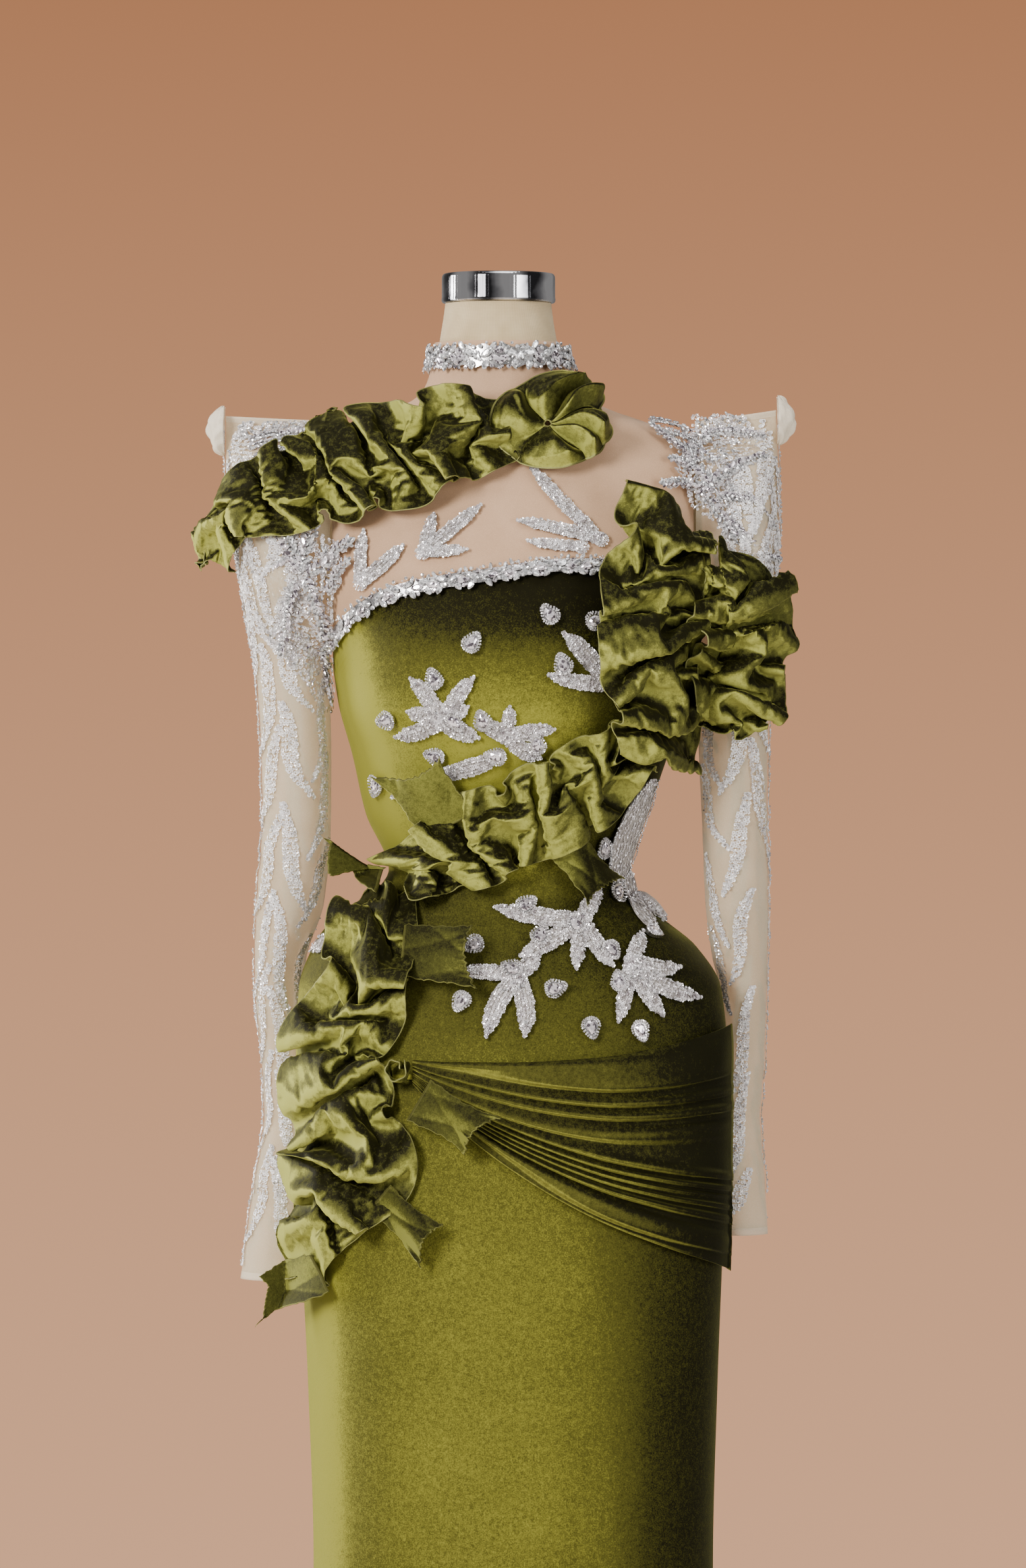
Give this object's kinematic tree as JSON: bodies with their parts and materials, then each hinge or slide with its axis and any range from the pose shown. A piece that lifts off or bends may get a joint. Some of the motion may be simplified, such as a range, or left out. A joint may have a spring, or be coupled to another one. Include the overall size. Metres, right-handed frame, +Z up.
{
  "type": "mermaid evening dress on a dress form",
  "caption": "Long-sleeved high-neck mermaid gown of velvet and tulle with ruched ruffles, pleated hip drape and sequin sprays, worn by a limbless dress form on a round stand.",
  "frame": {"origin": "centre of the stand's underside, on the floor", "axes": "+Z up along the stand's pole, +X to the wearer's left, -Y out of the front of the dress"},
  "size_m": [0.7474, 0.7017, 1.601],
  "materials": {
    "crystals": "faceted clear stones in silver settings",
    "form_chrome": "polished",
    "form_jersey": "fine ribbed jersey",
    "nude_tulle": "fine nude mesh",
    "sequins": "silver cup sequins and beads on lace",
    "sleeve_tulle": "fine ivory mesh, sheer",
    "stand_metal": "satin",
    "velvet": "stretch velvet, olive green, short pile with sheen",
    "zip_metal": "satin"
  },
  "bodies": {
    "dress_on_form": {"arm_crystals_right": "crystals", "bodice_back_left": "velvet", "bodice_back_right": "velvet", "bodice_front": "velvet", "bust_branch_centre": "sequins", "bust_branch_low": "sequins", "bust_branch_side": "sequins", "bust_branch_top": "sequins", "choker": "crystals", "drape_knot": "velvet", "flap_hip_front": "velvet", "flap_hip_low": "velvet", "flap_hip_side": "velvet", "flap_hip_top": "velvet", "flap_tail": "velvet", "flap_waist_end": "velvet", "flap_waist_top": "velvet", "form_base": "stand_metal", "form_neck_cap": "form_chrome", "form_pole": "stand_metal", "form_torso": "form_jersey", "hip_branch_edge": "sequins", "hip_branch_fan": "sequins", "hip_branch_hub": "sequins", "hip_branch_low": "sequins", "hip_branch_right": "sequins", "hip_branch_top": "sequins", "hip_drape": "velvet", "lace_side_left": "sequins", "neckline_trim": "crystals", "ruffle_bust_inner": "velvet", "ruffle_bust_outer": "velvet", "ruffle_hip": "velvet", "ruffle_rosette": "velvet", "ruffle_shoulder": "velvet", "ruffle_waist": "velvet", "shoulder_crystals_left": "crystals", "shoulder_crystals_right": "crystals", "shoulder_puff_left": "sleeve_tulle", "shoulder_puff_right": "sleeve_tulle", "skirt_back_left": "velvet", "skirt_back_right": "velvet", "skirt_front": "velvet", "sleeve_left": "sleeve_tulle", "sleeve_right": "sleeve_tulle", "yoke_back_left": "nude_tulle", "yoke_back_right": "nude_tulle", "yoke_front": "nude_tulle", "yoke_spray_left": "sequins", "yoke_spray_low": "sequins", "yoke_spray_middle": "sequins", "yoke_spray_right": "sequins", "zip_slider": "zip_metal"},
    "zip_pull": {"zip_pull": "zip_metal"}
  },
  "joints": [
    {"name": "zip_pull_hinge", "type": "hinge", "parent": "dress_on_form", "child": "zip_pull", "pos_m": [-0.00979, 0.06577, 1.50653], "axis": [1, 0, 0], "range_deg": [0, 150]}
  ]
}
